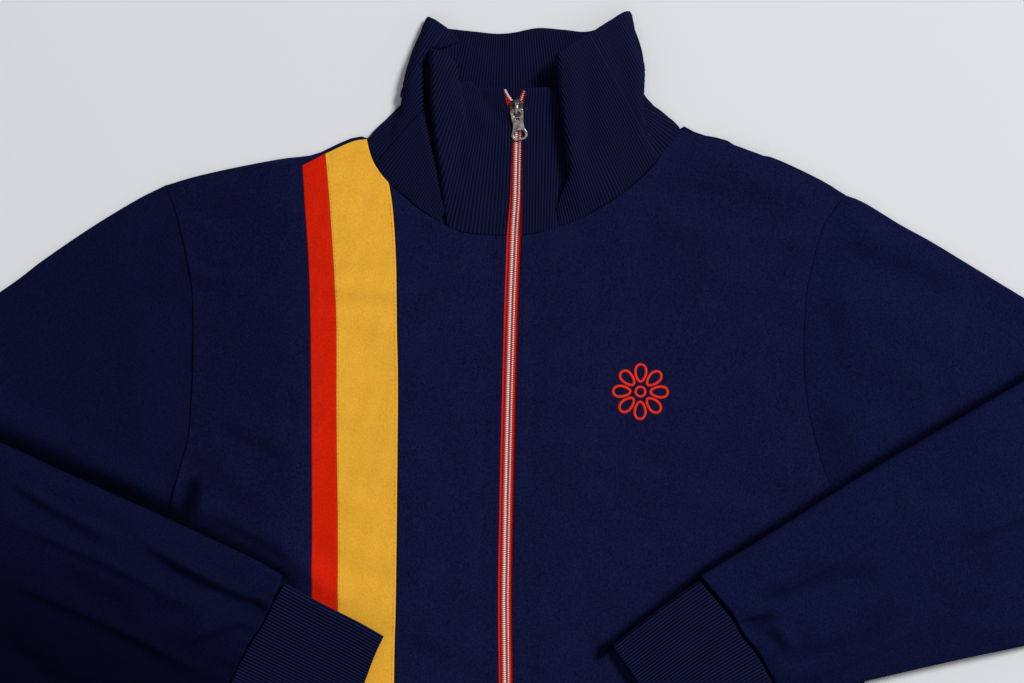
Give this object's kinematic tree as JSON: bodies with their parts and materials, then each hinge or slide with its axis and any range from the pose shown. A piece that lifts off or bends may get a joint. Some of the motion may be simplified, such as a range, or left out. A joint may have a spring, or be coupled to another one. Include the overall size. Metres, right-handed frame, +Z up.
{
  "type": "track jacket",
  "caption": "Zip-through track jacket with a tall rib collar and shoulder-to-hem stripes, laid flat with both sleeves folded over the front.",
  "frame": {"origin": "on the flat underside of the back, on the centre line at chest height", "axes": "+X towards the wearer's left sleeve, +Y from hem to collar, +Z up off the surface it lies on"},
  "size_m": [0.8255, 0.7445, 0.0234],
  "materials": {
    "navy_knit": "matt sweatshirt knit",
    "navy_rib": "matt ribbed knit",
    "red_knit": "matt knit",
    "yellow_knit": "matt knit",
    "zip_tape": "woven tape with a silver coil",
    "zip_metal": "worn nickel plate",
    "embroidery": "satin stitch in shiny thread"
  },
  "bodies": {
    "jacket": {"back": "navy_knit", "collar": "navy_rib", "cuff_left": "navy_rib", "cuff_right": "navy_rib", "front_left": "navy_knit", "front_right_centre": "navy_knit", "front_right_side": "navy_knit", "hem_band": "navy_rib", "motif": "embroidery", "sleeve_left": "navy_knit", "sleeve_right": "navy_knit", "stripe_red": "red_knit", "stripe_yellow": "yellow_knit", "zip_box": "zip_metal", "zip_slider": "zip_metal", "zip_tape_left": "zip_tape", "zip_tape_right": "zip_tape"},
    "pull_tab": {"pull_tab": "zip_metal"}
  },
  "joints": [
    {"name": "pull_swing", "type": "hinge", "parent": "jacket", "child": "pull_tab", "pos_m": [-0.00003, 0.15157, 0.01297], "axis": [-0.9903, -0.1386, -0.0131], "range_deg": [0, 150]}
  ]
}
